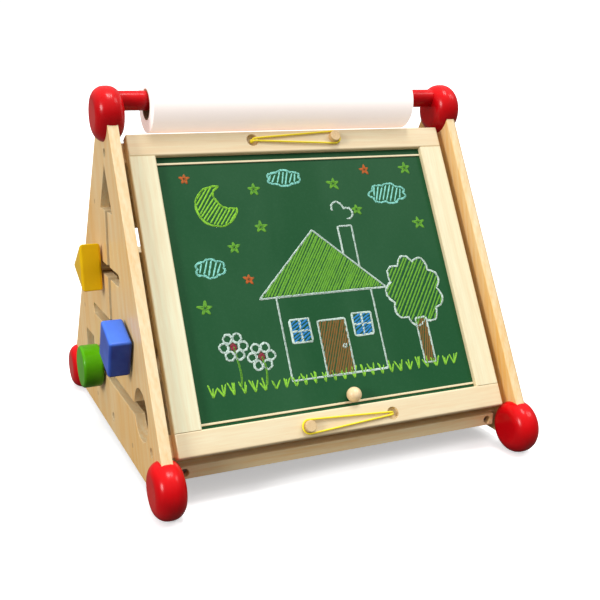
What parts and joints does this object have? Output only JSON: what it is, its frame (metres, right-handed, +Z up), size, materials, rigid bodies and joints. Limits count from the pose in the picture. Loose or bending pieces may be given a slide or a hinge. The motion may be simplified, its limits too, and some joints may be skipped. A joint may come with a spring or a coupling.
{
  "type": "tabletop wooden easel",
  "caption": "Tabletop wooden easel: A-frame with chalkboard, paper roll, elastic paper holders, ball magnet and sliding shape blocks on one side.",
  "frame": {"origin": "on the table surface, midway between the two side panels and midway between the front and back feet", "axes": "+Z up, -Y the side of the chalkboard, +X to the right of a person who faces the chalkboard"},
  "size_m": [0.4789, 0.4976, 0.4358],
  "materials": {
    "pine": "satin",
    "pale_pine": "satin",
    "dowel_wood": "matte",
    "ball_wood": "satin",
    "red_gloss": "gloss",
    "yellow_gloss": "gloss",
    "blue_gloss": "gloss",
    "green_gloss": "gloss",
    "chalkboard_green": "matte",
    "yellow_elastic": "matte",
    "cardboard": "matte",
    "white_paper": "matte",
    "zinc_steel": "satin"
  },
  "bodies": {
    "easel": {"side_panel_left": "pine", "side_panel_right": "pine", "foot_front_left": "red_gloss", "foot_front_right": "red_gloss", "foot_back_left": "red_gloss", "foot_back_right": "red_gloss", "disc_top_left": "red_gloss", "disc_top_right": "red_gloss", "shelf": "pine", "front_rail_lower": "pine", "front_rail_upper": "pine", "back_board_lower": "pine", "back_board_upper": "pine", "frame_rail_top": "pale_pine", "frame_rail_bottom": "pale_pine", "frame_stile_left": "pale_pine", "frame_stile_right": "pale_pine", "frame_dowels": "dowel_wood", "chalkboard": "chalkboard_green", "bead_top": "pale_pine", "bead_bottom": "pale_pine", "peg_top": "pale_pine", "peg_bottom": "pale_pine", "elastic_top": "yellow_elastic", "elastic_bottom": "yellow_elastic", "elastic_knots": "yellow_elastic", "roller_rod": "red_gloss", "panel_bolts": "zinc_steel", "cross_dowel_nuts": "zinc_steel", "panel_dowels": "dowel_wood", "frame_screws": "zinc_steel"},
    "roll": {"roll_core": "cardboard", "paper_roll": "white_paper"},
    "ball_magnet_set": {"ball": "ball_wood", "ball_magnet": "zinc_steel"},
    "yellow_slider": {"yellow_glide": "dowel_wood"},
    "yellow_turner": {"yellow_block": "yellow_gloss", "yellow_peg": "dowel_wood", "yellow_keeper": "dowel_wood", "yellow_screw": "zinc_steel"},
    "blue_slider": {"blue_glide": "dowel_wood"},
    "blue_turner": {"blue_block": "blue_gloss", "blue_peg": "dowel_wood", "blue_keeper": "dowel_wood", "blue_screw": "zinc_steel"},
    "green_slider": {"green_glide": "dowel_wood"},
    "green_turner": {"green_block": "green_gloss", "green_peg": "dowel_wood", "green_keeper": "dowel_wood", "green_screw": "zinc_steel"}
  },
  "joints": [
    {"name": "roll_spin", "type": "hinge", "parent": "easel", "child": "roll", "pos_m": [0, -0.019, 0.40335], "axis": [1, 0, 0], "continuous": true},
    {"name": "ball_slide", "type": "slide", "parent": "easel", "child": "ball_magnet_set", "axis": [1, 0, 0], "range_m": [-0.168, 0.151]},
    {"name": "yellow_slide", "type": "slide", "parent": "easel", "child": "yellow_slider", "axis": [0, 1, 0], "range_m": [-0.0885, 0.0225]},
    {"name": "yellow_spin", "type": "hinge", "parent": "yellow_slider", "child": "yellow_turner", "pos_m": [-0.215, 0.024, 0.215], "axis": [1, 0, 0], "continuous": true},
    {"name": "blue_slide", "type": "slide", "parent": "easel", "child": "blue_slider", "axis": [0, 1, 0], "range_m": [0, 0.1775]},
    {"name": "blue_spin", "type": "hinge", "parent": "blue_slider", "child": "blue_turner", "pos_m": [-0.215, -0.1028, 0.15], "axis": [1, 0, 0], "continuous": true},
    {"name": "green_slide", "type": "slide", "parent": "easel", "child": "green_slider", "axis": [0, 1, 0], "range_m": [-0.155, 0.0345]},
    {"name": "green_spin", "type": "hinge", "parent": "green_slider", "child": "green_turner", "pos_m": [-0.215, 0.048, 0.084], "axis": [1, 0, 0], "continuous": true}
  ]
}
